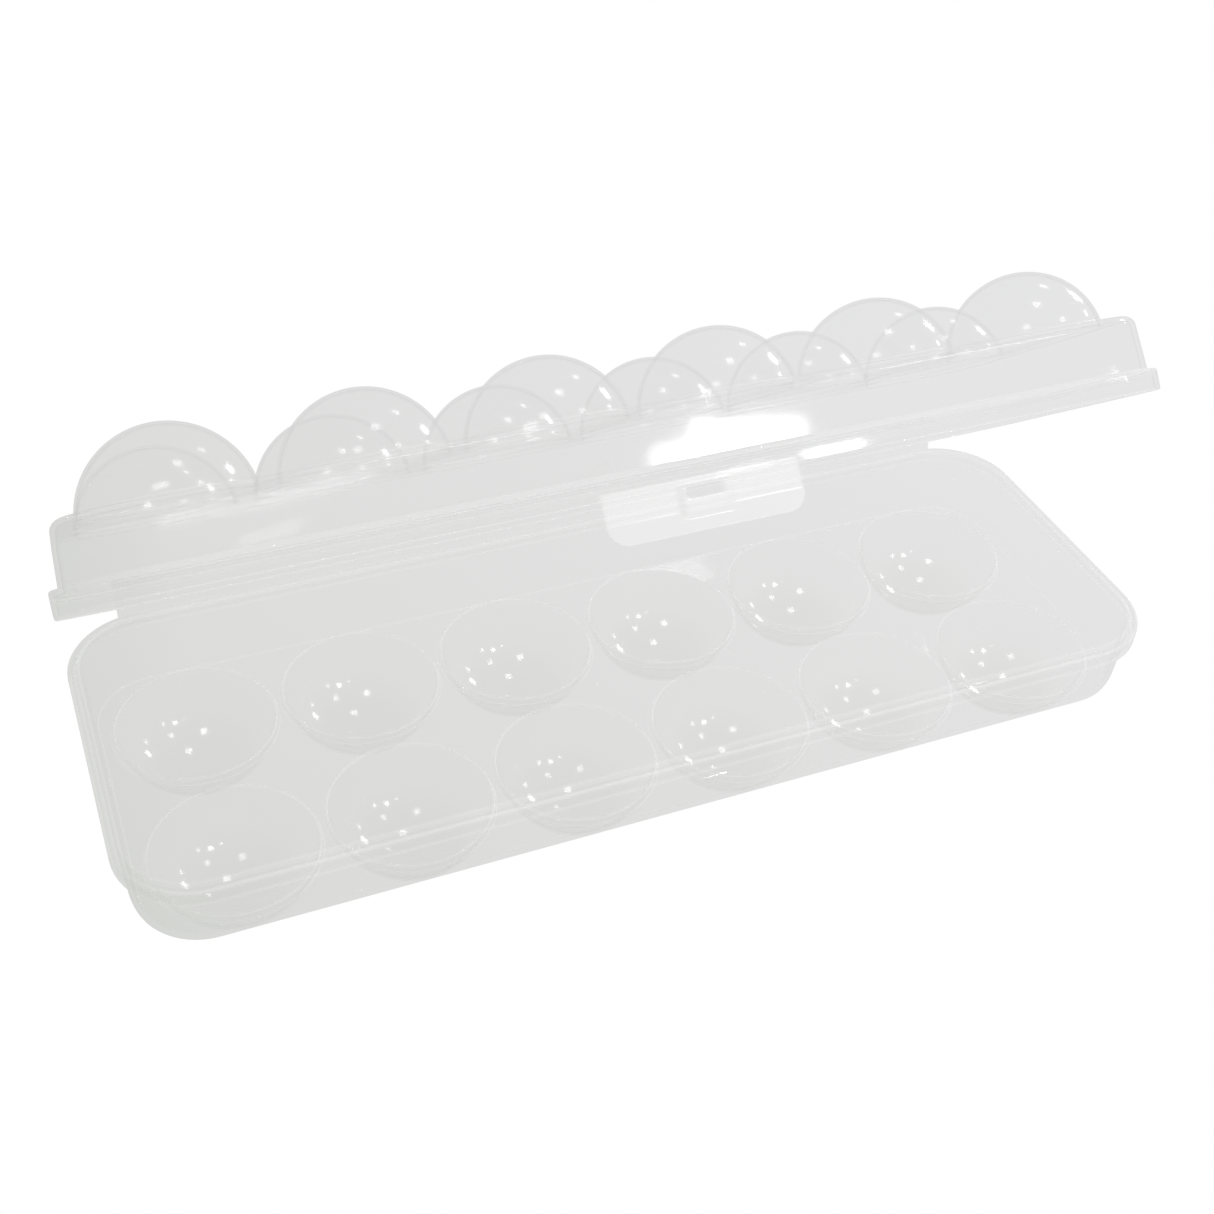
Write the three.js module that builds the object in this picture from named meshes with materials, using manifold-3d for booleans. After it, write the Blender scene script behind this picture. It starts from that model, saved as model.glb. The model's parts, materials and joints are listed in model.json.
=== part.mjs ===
// Reusable clear egg carton for twelve eggs: a tray of round-bottomed cups, a lid of
// domes that swings on a film hinge along the back, and a snap latch tab at the front.
// Millimetres, +Z up, +X along the length, -Y towards the latch. The lid is part-open.
import * as THREE from "three";
import { mergeVertices } from "three/addons/utils/BufferGeometryUtils.js";
import Module from "manifold-3d";

const wasm = await Module();
wasm.setup();

// Egg grid
const COLUMNS = 6;
const ROWS = 2;
const COLUMN_PITCH = 48;
const ROW_PITCH = 50;

// Plan outline shared by the tray's rim and the lid's band
const HALF_LENGTH = 151;
const HALF_WIDTH = 54.5;
const CORNER_RADIUS = 22;
const CORNER_STEPS = 6;

// Fits
const SKIN = 1.2;
const GAP = 0.3;
const ROUND_SEGMENTS = 20;
const ARC_ROWS = 5;

// Egg cups, which stand on their flat feet at z = 0
const CUP_MOUTH_RADIUS = 22.2;
const CUP_DEPTH = 19.8;
const CUP_WALL = 1.0;
const CUP_BOTTOM = 1.5;
const CUP_TOP = CUP_BOTTOM + CUP_DEPTH;
const CUP_INNER_RADIUS = (CUP_MOUTH_RADIUS ** 2 + CUP_DEPTH ** 2) / (2 * CUP_DEPTH);
const CUP_CENTRE = CUP_BOTTOM + CUP_INNER_RADIUS;
const FOOT_RADIUS = 6;
const LIP_HEIGHT = 2;

// Tray
const FLOOR_TOP = CUP_TOP - LIP_HEIGHT;
const FLOOR_BOTTOM = FLOOR_TOP - SKIN;
const RIM_TOP = 40.7;
const RIM_HEIGHT = 5;
const BAND_THICKNESS = 1.9;
const BAND_EDGE = 0.7;
const WALL_INSET = BAND_THICKNESS + GAP;
const WALL_DRAFT = 1.1;
const LOCATING_LIP = 0.8;
const TRAY_FILLET = { wide: 3.2, middle: 1.8, low: 1.1, high: 3.4 };

// Lid, in the closed pose
const BAND_BOTTOM = RIM_TOP + GAP;
const BAND_HEIGHT = 6.1;
const LID_TOP = BAND_BOTTOM + 21.8;
const LID_WALL_BOTTOM = RIM_TOP + LOCATING_LIP + 0.4;
const LID_DRAFT = 1.0;
const LID_FILLET = 3.6;
const LID_FILLET_CUT = 1.1;
const DOME_RADIUS = 22.1;
const DOME_WALL = 1.0;
const DOME_CENTRE = LID_TOP - 3.1;

// Film hinge
const HINGE_Y = 59.4;
const HINGE_Z = 49.1;
const HINGE_HALF_LENGTH = 134;
const FILM_RADIUS = 0.35;
const LEAF_RISE = 2.2;
const LEAF_SLOPE = 0.8;
const LEDGE_REACH = 2.6;
const OPEN_ANGLE = 40;

// Latch tab and the catch nub that it snaps under
const LATCH_X = 2;
const TAB_WIDTH = 53;
const TAB_TOP = BAND_BOTTOM + 2;
const TAB_BOTTOM = BAND_BOTTOM - 11.5;
const TAB_CREASE = BAND_BOTTOM - 6.2;
const TAB_THICKNESS = 1.4;
const TAB_FACE_Y = -HALF_WIDTH - 0.9;
const TAB_FLARE = 1.4;
const TAB_CORNER = 5;
const BLOCK_WIDTH = 14;
const BLOCK_DEPTH = 1.7;
const WINDOW_WIDTH = 10.4;
const NUB_WIDTH = 9.5;
const NUB_DEPTH = 2.6;
const NUB_BOTTOM = 34.9;
const NUB_TOP = 36.9;
const NUB_CLEARANCE = 0.5;
const NUB_CHAMFER = 0.7;

const CLEAR_PLASTIC = { roughness: 0.18, metalness: 0, transparent: true, opacity: 0.4 };
const trayPlastic = new THREE.MeshStandardMaterial({ color: 0xdfe4df, ...CLEAR_PLASTIC });
const lidPlastic = new THREE.MeshStandardMaterial({ color: 0xe4e8e4, ...CLEAR_PLASTIC });
const latchPlastic = new THREE.MeshStandardMaterial({ color: 0xe8ebe8, ...CLEAR_PLASTIC });

function mesh(name, geometry, material) {
  const piece = new THREE.Mesh(geometry, material);
  piece.name = name;
  return piece;
}

// The geometry's positions alone, with shared corners merged.
function welded(geometry) {
  const bare = geometry.clone();
  bare.deleteAttribute("normal");
  bare.deleteAttribute("uv");
  return mergeVertices(bare, 1e-4);
}

function toSolid(geometry) {
  const bare = welded(geometry);
  return new wasm.Manifold(
    new wasm.Mesh({
      numProp: 3,
      vertProperties: Float32Array.from(bare.attributes.position.array),
      triVerts: Uint32Array.from(bare.index.array),
    }),
  );
}

function toGeometry(solid) {
  const cut = solid.getMesh();
  const geometry = new THREE.BufferGeometry();
  geometry.setAttribute("position", new THREE.BufferAttribute(cut.vertProperties, 3));
  geometry.setIndex(new THREE.BufferAttribute(cut.triVerts, 1));
  geometry.computeVertexNormals();
  return geometry;
}

function indexedGeometry(points, triangles) {
  const geometry = new THREE.BufferGeometry();
  geometry.setAttribute("position", new THREE.Float32BufferAttribute(points.flat(), 3));
  geometry.setIndex(triangles.flat());
  geometry.computeVertexNormals();
  return geometry;
}

// One turn round the carton's rounded rectangle, counter-clockwise from above.
function outline(inset, z) {
  const radius = CORNER_RADIUS - inset;
  const corners = [
    [1, 1],
    [-1, 1],
    [-1, -1],
    [1, -1],
  ];
  return corners.flatMap(([sideX, sideY], corner) =>
    Array.from({ length: CORNER_STEPS + 1 }, (_, step) => {
      const angle = (corner + step / CORNER_STEPS) * (Math.PI / 2);
      const x = sideX * (HALF_LENGTH - CORNER_RADIUS) + radius * Math.cos(angle);
      const y = sideY * (HALF_WIDTH - CORNER_RADIUS) + radius * Math.sin(angle);
      return [x, y, z];
    }),
  );
}

// Two triangles for each step between one ring of points and the next.
function skin(ringCount, ringSize, closed) {
  const triangles = [];
  const bands = closed ? ringCount : ringCount - 1;
  for (let ring = 0; ring < bands; ring += 1) {
    const lower = ring * ringSize;
    const upper = ((ring + 1) % ringCount) * ringSize;
    for (let step = 0; step < ringSize; step += 1) {
      const next = (step + 1) % ringSize;
      triangles.push([lower + step, lower + next, upper + next]);
      triangles.push([lower + step, upper + next, upper + step]);
    }
  }
  return triangles;
}

// A solid block from a stack of outlines, [inset, z] from the bottom up.
function block(levels) {
  const rings = levels.map(([inset, z]) => outline(inset, z));
  const size = rings[0].length;
  const points = rings.flat();
  const triangles = skin(rings.length, size, false);
  const bottom = points.push([0, 0, levels[0][1]]) - 1;
  const top = points.push([0, 0, levels.at(-1)[1]]) - 1;
  const lastRing = (rings.length - 1) * size;
  for (let step = 0; step < size; step += 1) {
    const next = (step + 1) % size;
    triangles.push([bottom, next, step]);
    triangles.push([top, lastRing + step, lastRing + next]);
  }
  return indexedGeometry(points, triangles);
}

// A closed hoop whose section, [inset, z], runs up the outside and down the inside.
function hoop(section) {
  const rings = section.map(([inset, z]) => outline(inset, z));
  return indexedGeometry(rings.flat(), skin(rings.length, rings[0].length, true));
}

// A body of revolution about Z from a profile of [radius, z].
function revolved(profile) {
  const points = profile.map(([radius, z]) => new THREE.Vector2(radius, z));
  return welded(new THREE.LatheGeometry(points, ROUND_SEGMENTS)).rotateX(Math.PI / 2);
}

// Points on a circle about [0, centre], between two angles from the +radius direction.
function arc(radius, centre, from, to, rows = ARC_ROWS) {
  return Array.from({ length: rows + 1 }, (_, row) => {
    const angle = from + ((to - from) * row) / rows;
    return [radius * Math.cos(angle), centre + radius * Math.sin(angle)];
  });
}

function boxBetween(low, high) {
  const size = high.map((value, axis) => value - low[axis]);
  const centre = high.map((value, axis) => (value + low[axis]) / 2);
  return new THREE.BoxGeometry(...size).translate(...centre);
}

// A prism along X from an outline in the YZ plane.
function prismAlongX(points, low, high) {
  const shape = new THREE.Shape(points.map(([y, z]) => new THREE.Vector2(y, z)));
  const prism = new THREE.ExtrudeGeometry(shape, { depth: high - low, bevelEnabled: false });
  return prism.rotateY(Math.PI / 2).rotateX(Math.PI / 2).translate(low, 0, 0);
}

// Each egg's place: its row (1 at the front), its column (1 at the left), x and y.
function eggPlaces() {
  const places = [];
  for (let row = 0; row < ROWS; row += 1) {
    for (let column = 0; column < COLUMNS; column += 1) {
      places.push({
        label: `${row + 1}_${column + 1}`,
        x: (column - (COLUMNS - 1) / 2) * COLUMN_PITCH,
        y: (row - (ROWS - 1) / 2) * ROW_PITCH,
      });
    }
  }
  return places;
}

// The shell between two blocks, with a round hole through its deck for each egg.
function drilledShell(outer, inner, holeRadius, holeBottom, holeTop) {
  let shell = toSolid(block(outer)).subtract(toSolid(block(inner)));
  for (const { x, y } of eggPlaces()) {
    const drill = revolved([
      [0, holeBottom],
      [holeRadius, holeBottom],
      [holeRadius, holeTop],
      [0, holeTop],
    ]).translate(x, y, 0);
    shell = shell.subtract(toSolid(drill));
  }
  return toGeometry(shell);
}

// ---- Tray ----

const CUP_OUTER_RADIUS = CUP_MOUTH_RADIUS + CUP_WALL;
const CUP_SHELL_RADIUS = CUP_INNER_RADIUS + CUP_WALL;

function trayPan() {
  const { wide, middle, low, high } = TRAY_FILLET;
  const outer = [
    [WALL_INSET + wide, FLOOR_BOTTOM],
    [WALL_INSET + middle, FLOOR_BOTTOM + low],
    [WALL_INSET + WALL_DRAFT, FLOOR_BOTTOM + high],
    [WALL_INSET, RIM_TOP + LOCATING_LIP],
  ];
  const inner = [
    [WALL_INSET + wide + SKIN / 2, FLOOR_TOP],
    [WALL_INSET + middle + SKIN / 2, FLOOR_TOP + low + SKIN / 2],
    [WALL_INSET + SKIN, RIM_TOP + LOCATING_LIP + GAP],
  ];
  const shell = drilledShell(
    outer,
    inner,
    CUP_OUTER_RADIUS + GAP,
    FLOOR_BOTTOM - SKIN,
    FLOOR_TOP + SKIN,
  );
  return mesh("tray_pan", shell, trayPlastic);
}

function trayRim() {
  const bottom = RIM_TOP - RIM_HEIGHT;
  const section = [
    [0, bottom],
    [0, RIM_TOP - BAND_EDGE],
    [BAND_EDGE, RIM_TOP],
    [BAND_THICKNESS, RIM_TOP],
    [BAND_THICKNESS, bottom],
  ];
  return mesh("tray_rim", hoop(section), trayPlastic);
}

function cupProfile() {
  const footAngle = -Math.acos(FOOT_RADIUS / CUP_SHELL_RADIUS);
  const shellBottom = CUP_CENTRE + CUP_SHELL_RADIUS * Math.sin(footAngle);
  const lipAngle = -Math.asin((CUP_CENTRE - FLOOR_BOTTOM) / CUP_SHELL_RADIUS);
  const mouthAngle = -Math.asin((CUP_CENTRE - CUP_TOP + CUP_WALL / 2) / CUP_INNER_RADIUS);
  return [
    [0, 0],
    [FOOT_RADIUS, 0],
    [FOOT_RADIUS, shellBottom - SKIN / 2],
    ...arc(CUP_SHELL_RADIUS, CUP_CENTRE, footAngle, lipAngle).slice(1),
    [CUP_OUTER_RADIUS, CUP_TOP - CUP_WALL / 2],
    [CUP_OUTER_RADIUS - CUP_WALL / 2, CUP_TOP],
    ...arc(CUP_INNER_RADIUS, CUP_CENTRE, mouthAngle, -Math.PI / 2).slice(0, -1),
    [0, CUP_BOTTOM],
  ];
}

function eggCups() {
  const cup = revolved(cupProfile());
  return eggPlaces().map(({ label, x, y }) => {
    const piece = mesh(`egg_cup_${label}`, cup, trayPlastic);
    piece.position.set(x, y, 0);
    return piece;
  });
}

function catchNub() {
  const back = -HALF_WIDTH - GAP;
  const section = [
    [back, NUB_BOTTOM],
    [back, NUB_TOP],
    [back - NUB_DEPTH + NUB_CHAMFER, NUB_TOP],
    [back - NUB_DEPTH, NUB_TOP - NUB_CHAMFER],
    [back - NUB_DEPTH, NUB_BOTTOM],
  ];
  const halfWidth = NUB_WIDTH / 2;
  const nub = prismAlongX(section, LATCH_X - halfWidth, LATCH_X + halfWidth);
  return mesh("catch_nub", nub, trayPlastic);
}

// The tray's half of the hinge: a leaf that stands behind the lid's band and leans out
// to the fold line.
function trayHingeLeaf() {
  const front = HALF_WIDTH + GAP;
  const section = [
    [front, RIM_TOP - RIM_HEIGHT],
    [front + SKIN, RIM_TOP - RIM_HEIGHT],
    [front + SKIN, BAND_BOTTOM + LEAF_RISE],
    [HINGE_Y, HINGE_Z - FILM_RADIUS - GAP],
    [HINGE_Y - LEAF_SLOPE, HINGE_Z - FILM_RADIUS],
    [front, BAND_BOTTOM + LEAF_RISE + LEAF_SLOPE],
  ];
  const leaf = prismAlongX(section, -HINGE_HALF_LENGTH, HINGE_HALF_LENGTH);
  return mesh("hinge_leaf_tray", leaf, trayPlastic);
}

// The thin web at the fold line, a hexagonal thread of plastic.
function filmHinge() {
  const section = arc(FILM_RADIUS, 0, 0, (5 / 3) * Math.PI, 5).map(([y, z]) => [
    HINGE_Y + y,
    HINGE_Z + z,
  ]);
  const film = prismAlongX(section, -HINGE_HALF_LENGTH, HINGE_HALF_LENGTH);
  return mesh("film_hinge", film, trayPlastic);
}

// ---- Lid, modelled closed ----

function lidShell() {
  const shoulder = WALL_INSET + LID_DRAFT;
  const outer = [
    [WALL_INSET, LID_WALL_BOTTOM],
    [shoulder, LID_TOP - LID_FILLET],
    [shoulder + LID_FILLET_CUT, LID_TOP - LID_FILLET_CUT],
    [shoulder + LID_FILLET, LID_TOP],
  ];
  const inner = [
    [WALL_INSET + SKIN, LID_WALL_BOTTOM - GAP],
    [shoulder + SKIN, LID_TOP - LID_FILLET],
    [shoulder + LID_FILLET, LID_TOP - SKIN],
  ];
  const shell = drilledShell(
    outer,
    inner,
    DOME_RADIUS + GAP,
    LID_TOP - 2 * SKIN,
    LID_TOP + SKIN,
  );
  return mesh("lid_shell", shell, lidPlastic);
}

function lidBand() {
  const top = BAND_BOTTOM + BAND_HEIGHT;
  const section = [
    [0, BAND_BOTTOM],
    [0, top - BAND_EDGE],
    [BAND_EDGE, top],
    [BAND_THICKNESS, top],
    [BAND_THICKNESS, BAND_BOTTOM],
  ];
  return mesh("lid_band", hoop(section), lidPlastic);
}

function domeProfile() {
  const base = LID_TOP - SKIN;
  const innerRadius = DOME_RADIUS - DOME_WALL;
  const outerAngle = Math.asin((base - DOME_CENTRE) / DOME_RADIUS);
  const innerAngle = Math.asin((base - DOME_CENTRE) / innerRadius);
  return [
    ...arc(DOME_RADIUS, DOME_CENTRE, outerAngle, Math.PI / 2).slice(0, -1),
    [0, DOME_CENTRE + DOME_RADIUS],
    [0, DOME_CENTRE + innerRadius],
    ...arc(innerRadius, DOME_CENTRE, Math.PI / 2, innerAngle).slice(1),
    [DOME_RADIUS * Math.cos(outerAngle), base],
  ];
}

function eggDomes() {
  const dome = revolved(domeProfile());
  return eggPlaces().map(({ label, x, y }) => {
    const piece = mesh(`egg_dome_${label}`, dome, lidPlastic);
    piece.position.set(x, y, 0);
    return piece;
  });
}

// The lid's half of the hinge: a ledge over the band's back that reaches the fold line.
function lidHingeLeaf() {
  const front = HALF_WIDTH - WALL_INSET + GAP;
  const bottom = BAND_BOTTOM + BAND_HEIGHT + GAP;
  const section = [
    [front, bottom],
    [HINGE_Y - LEDGE_REACH, bottom],
    [HINGE_Y - FILM_RADIUS - GAP, HINGE_Z],
    [HINGE_Y - FILM_RADIUS - GAP, HINGE_Z + SKIN / 2],
    [HINGE_Y - LEDGE_REACH - SKIN / 2, bottom + SKIN],
    [front, bottom + SKIN],
  ];
  const leaf = prismAlongX(section, -HINGE_HALF_LENGTH, HINGE_HALF_LENGTH);
  return mesh("hinge_leaf_lid", leaf, lidPlastic);
}

// ---- Latch tab ----

// The tab's plate: straight down to the crease, then flared out for the fingertip.
function tabPlate() {
  const inner = TAB_FACE_Y;
  const outer = TAB_FACE_Y - TAB_THICKNESS;
  const root = -HALF_WIDTH - GAP;
  return prismAlongX(
    [
      [root, TAB_TOP],
      [outer, TAB_TOP],
      [outer, TAB_CREASE],
      [outer - TAB_FLARE, TAB_BOTTOM],
      [outer - TAB_FLARE + SKIN, TAB_BOTTOM],
      [inner, TAB_CREASE],
      [inner, BAND_BOTTOM - GAP],
      [root, BAND_BOTTOM + GAP],
    ],
    LATCH_X - TAB_WIDTH / 2,
    LATCH_X + TAB_WIDTH / 2,
  );
}

// The tab's outline from the front, with rounded lower corners, as a prism along Y.
function tabOutline() {
  const side = TAB_WIDTH / 2;
  const shape = new THREE.Shape();
  shape.moveTo(-side, TAB_TOP + SKIN);
  shape.lineTo(-side, TAB_BOTTOM + TAB_CORNER);
  shape.absarc(-side + TAB_CORNER, TAB_BOTTOM + TAB_CORNER, TAB_CORNER, Math.PI, 1.5 * Math.PI);
  shape.absarc(side - TAB_CORNER, TAB_BOTTOM + TAB_CORNER, TAB_CORNER, 1.5 * Math.PI, 2 * Math.PI);
  shape.lineTo(side, TAB_TOP + SKIN);
  const depth = 12;
  const prism = new THREE.ExtrudeGeometry(shape, { depth, bevelEnabled: false, curveSegments: 5 });
  return prism.rotateX(Math.PI / 2).translate(LATCH_X, TAB_FACE_Y + depth / 2, 0);
}

function latchTab() {
  const halfBlock = BLOCK_WIDTH / 2;
  const blockFace = TAB_FACE_Y - TAB_THICKNESS - BLOCK_DEPTH;
  const raisedBlock = boxBetween(
    [LATCH_X - halfBlock, blockFace, NUB_BOTTOM - 1.2],
    [LATCH_X + halfBlock, TAB_FACE_Y - SKIN / 2, BAND_BOTTOM],
  );
  const halfPocket = NUB_WIDTH / 2 + NUB_CLEARANCE;
  const pocket = boxBetween(
    [LATCH_X - halfPocket, -HALF_WIDTH - GAP - NUB_DEPTH - NUB_CLEARANCE, NUB_BOTTOM - NUB_CLEARANCE],
    [LATCH_X + halfPocket, -HALF_WIDTH, NUB_TOP + NUB_CLEARANCE],
  );
  const halfWindow = WINDOW_WIDTH / 2;
  const window = boxBetween(
    [LATCH_X - halfWindow, blockFace - SKIN, NUB_TOP + 2 * NUB_CLEARANCE],
    [LATCH_X + halfWindow, -HALF_WIDTH, BAND_BOTTOM - GAP],
  );
  const tab = toSolid(tabPlate())
    .intersect(toSolid(tabOutline()))
    .add(toSolid(raisedBlock))
    .subtract(toSolid(pocket))
    .subtract(toSolid(window));
  return mesh("latch_tab", toGeometry(tab), latchPlastic);
}

// ---- Assembly ----

function tray() {
  const group = new THREE.Group();
  group.add(trayPan(), trayRim(), ...eggCups(), catchNub(), trayHingeLeaf(), filmHinge());
  return group;
}

// The lid turned open about the fold line.
function lid() {
  const closedParts = new THREE.Group();
  closedParts.add(lidShell(), lidBand(), ...eggDomes(), lidHingeLeaf(), latchTab());
  closedParts.position.set(0, -HINGE_Y, -HINGE_Z);
  const pivot = new THREE.Group();
  pivot.add(closedParts);
  pivot.position.set(0, HINGE_Y, HINGE_Z);
  pivot.rotation.x = -THREE.MathUtils.degToRad(OPEN_ANGLE);
  return pivot;
}

// The carton stands with its footprint centred on the origin.
function carton() {
  const parts = new THREE.Group();
  parts.add(tray(), lid());
  parts.updateMatrixWorld(true);
  const middle = new THREE.Box3().setFromObject(parts, true).getCenter(new THREE.Vector3());
  parts.position.set(-middle.x, -middle.y, 0);
  const group = new THREE.Group();
  group.name = "egg_carton";
  group.add(parts);
  return group;
}

export default carton();
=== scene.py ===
"""A clear hinged egg carton for twelve eggs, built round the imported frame."""
import json
import math

import bpy
import bmesh
from mathutils import Matrix, Vector
from mathutils.geometry import tessellate_polygon

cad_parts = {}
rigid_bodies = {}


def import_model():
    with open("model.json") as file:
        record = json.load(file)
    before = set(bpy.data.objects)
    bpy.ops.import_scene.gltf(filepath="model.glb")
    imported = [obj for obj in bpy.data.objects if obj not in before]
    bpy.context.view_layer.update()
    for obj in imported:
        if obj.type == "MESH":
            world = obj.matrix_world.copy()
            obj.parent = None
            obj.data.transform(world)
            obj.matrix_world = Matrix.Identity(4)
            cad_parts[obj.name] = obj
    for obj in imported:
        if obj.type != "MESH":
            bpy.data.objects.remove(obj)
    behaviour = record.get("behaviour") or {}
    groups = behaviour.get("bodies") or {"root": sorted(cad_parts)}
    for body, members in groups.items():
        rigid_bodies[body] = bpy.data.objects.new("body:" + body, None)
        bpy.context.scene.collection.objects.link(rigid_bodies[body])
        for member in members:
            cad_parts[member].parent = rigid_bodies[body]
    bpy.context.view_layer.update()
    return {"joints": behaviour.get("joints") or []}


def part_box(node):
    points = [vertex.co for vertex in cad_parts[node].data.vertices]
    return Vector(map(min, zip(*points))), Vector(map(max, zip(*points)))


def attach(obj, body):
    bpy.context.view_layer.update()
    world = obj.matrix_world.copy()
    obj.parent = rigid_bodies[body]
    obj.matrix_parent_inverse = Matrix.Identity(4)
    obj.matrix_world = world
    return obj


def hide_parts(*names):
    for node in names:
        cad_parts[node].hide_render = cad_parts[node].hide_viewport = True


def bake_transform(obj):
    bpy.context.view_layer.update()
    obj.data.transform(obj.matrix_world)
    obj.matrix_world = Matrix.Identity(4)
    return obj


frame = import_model()

# The carton's lengths are in millimetres until a mesh is made. Its own axes have their origin
# under the middle of the cup grid, and its lid is shut. Materials, camera, light and floor
# are in metres, in the frame's axes.
MM = 0.001
COLUMNS = 6
ROWS = 2
ROUND_STEPS = 96
CORNER_STEPS = 14
SIDE_STEPS = 24
CLEARANCE = 0.02
SEAM_SLACK = 0.001
WELD_METRES = 1e-7

# A shorter step of a lofted or turned section is a tight fold
LOFTED_FOLD = 0.5
TURNED_FOLD = 0.3

# Plan outline of the rim and the lid's band
HALF_LENGTH = 151.0
HALF_WIDTH = 54.5
CORNER_RADIUS = 22.0

# Tray heights
FLOOR_TOP = 19.3
FLOOR_BOTTOM = 18.1
WALL_FOOT = 25.5
BAND_LOW = 35.7
SKIRT_ROOF = 39.6
RIM_TOP = 40.7
LIP_TOP = 41.5

# Egg cups
CUP_TOP = 21.3
CUP_BORDER = 23.6
CUP_SPHERE_Z = 23.85
CUP_INNER = 22.35
CUP_OUTER = 22.95
CUP_BOTTOM = 1.5
CUP_FLAT = 2.0
CUP_STEPS = (24, 22)
FOOT_RADIUS = 6.0
FOOT_ARC = 6.0

# Lid heights, shut
LID_BAND_LOW = 41.0
LID_BAND_TOP = 47.1
DECK_TOP = 62.8
DECK_BOTTOM = 61.6
DECK_INSET = 3.2
DECK_FILLET = 3.02

# Egg domes
DOME_BORDER = 23.2
DOME_SPHERE_Z = 59.7
DOME_OUTER = 21.98
DOME_INNER = 21.38
DOME_STEPS = 30
NEAR_POLE = 89

# Hinge
HINGE_Y = 59.4
HINGE_Z = 49.1
HINGE_HALF_LENGTH = 134.0
LEAF_CUTS = 48
LEAF_SOFTNESS = 0.25
WEB_CUTS = 24
WEB_STEPS = 8
WEB_BULGE = 1.6
WEB_THICKNESS = 0.3
WEB_END_GAP = 0.5

# Catch
NUB_HALF_LENGTH = 4.75
NUB_SOFTNESS = 0.35

# Latch tab: half widths from its middle, heights, and the y of its faces
LATCH_X = 2.0
TAB_SIDE = 26.5
TAB_CORNER = 5.0
TAB_STRAIGHT = 7.6
BLOCK_SIDE = 6.7
POCKET_SIDE = 5.6
WINDOW_SIDE = 5.2
TAB_TOP = 43.0
TAB_ROOT = 41.2
BLOCK_TOP = 40.9
WINDOW_TOP = 40.6
WINDOW_LOW = 38.0
POCKET_TOP = 37.7
TAB_CREASE = 34.8
POCKET_LOW = 34.3
BLOCK_LOW = 33.9
TAB_LOW = 29.5
TAB_FRONT = -56.8
TAB_BACK = -55.4
BLOCK_FRONT = -58.4
POCKET_BACK = -57.3
TAB_COLUMNS = (0, 2.6, WINDOW_SIDE, POCKET_SIDE, BLOCK_SIDE, 7.0, TAB_STRAIGHT, 11, 16, 21,
               24.6, 26.0, TAB_SIDE)
TAB_ROWS = (TAB_TOP, 42.6, 41.6, TAB_ROOT, BLOCK_TOP, WINDOW_TOP, WINDOW_LOW, POCKET_TOP,
            36.2, 35.3, TAB_CREASE, POCKET_LOW, BLOCK_LOW, 33.6, 32.0, 30.6, 29.8, TAB_LOW)

# Plastic. Its index is 1, because a real one turns the tight folds black. The coat is glossy.
PLASTIC_INDEX = 1.0
COAT_INDEX = 1.5
CLOUD_SCALE = 18.0
RIPPLE_SCALE = 60.0
RIPPLE_STRENGTH = 0.05
RIPPLE_DEPTH = 0.0006
GLOSS_RANGE = (0.02, 0.07)
EDGE_ON = 0.7
# Painted shade: the plastic is darker and greener towards the carton's left end, over this x
# range
LEFT_END_X = (-0.149, -0.118)
# Painted shade: the cups are darker towards their feet, below this height
CUP_SHADE_Z = (0.001, 0.011)
NO_SHADE = (1, 1, 1)
# The colour of the painted shade at the carton's left end
LEFT_END_SHADE = (0.966, 0.971, 0.959)
BODY_TINT = (0.989, 0.989, 0.989)
JOINED_SLOT = 1
FOLDED_SLOT = 2

# Camera: its angles are azimuth, elevation and roll in degrees
CAMERA_PLACE = (-0.15024, -0.32203, 0.34861)
CAMERA_ANGLES = (-24.312, 40.2, 3.442)
CAMERA_LENS = 48.237
CAMERA_SENSOR = 36.0
CAMERA_NEAR = 0.01

# Light and floor. The floor's shades run along its direction, from end to end of its span.
LAMP_AIM = (0, 0, 0.02)
TENT_TURN = 0.4
TENT_SHADES = (0.62, 0.84)
FLOOR_HALF = 4.0
FLOOR_DROP = 0.0005
FLOOR_DIRECTION = (0.93, 0.37, 0)
FLOOR_SPAN = (-0.22, 0.22)
FLOOR_SHADES = (
    (0.0, (0.645, 0.658, 0.630, 1)),
    (0.25, (0.712, 0.715, 0.706, 1)),
    (1.0, (0.795, 0.794, 0.797, 1)),
)
BOUNCES = 64

# Each lamp: name, place, width, height, spin in degrees, and how bright its face is
LAMPS = [
    ("key", (0.5269, -0.7919, 0.971), 0.112, 0.11, -36, 41.6),
    ("key_side", (0.4726, -0.7914, 1.0015), 0.062, 0.05, -20, 41.6),
    ("key_low", (0.614, -0.8762, 0.8493), 0.062, 0.035, -20, 41.6),
    ("streak", (0.0669, -0.8592, 1.1033), 0.068, 0.008, 4, 9.0),
    ("top_streak", (0.063, -0.835, 1.1304), 0.235, 0.005, -1.5, 16.0),
    ("under_tab", (0.0, -0.62, 0.2), 0.3, 0.3, 0, 11.0),
    ("left_of_key", (0.209, -1.051, 1.157), 0.07, 0.07, 45, 19.2),
    ("far_left", (-0.39, -0.42, 1.35), 0.22, 0.22, 45, 9.6),
    ("overhead", (0.38, 0.26, 1.86), 0.27, 0.27, 45, 11.2),
    ("right", (0.97, -0.49, 1.45), 0.22, 0.22, 45, 11.2),
    ("low_right", (0.99, -0.75, 0.86), 0.13, 0.13, 45, 12.8),
    ("back_right", (1.4, 1.35, 1.6), 0.24, 0.24, 45, 9.6),
    ("side", (2.1, 0.98, 0.75), 0.3, 0.3, 45, 25.6),
    ("low_side", (2.3, 0.36, 0.74), 0.18, 0.18, 45, 19.2),
    ("behind", (0.73, 1.38, 1.25), 0.1, 0.1, 45, 4.0),
]

# Some lamps light only the pieces whose names start so
LIT_ONLY = {
    "key_low": "lid_body",
    "streak": "lid_body",
    "top_streak": "lid_body",
    "under_tab": "latch_flap",
    "back_right": "dome_",
    "behind": "tray_body",
}

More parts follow.
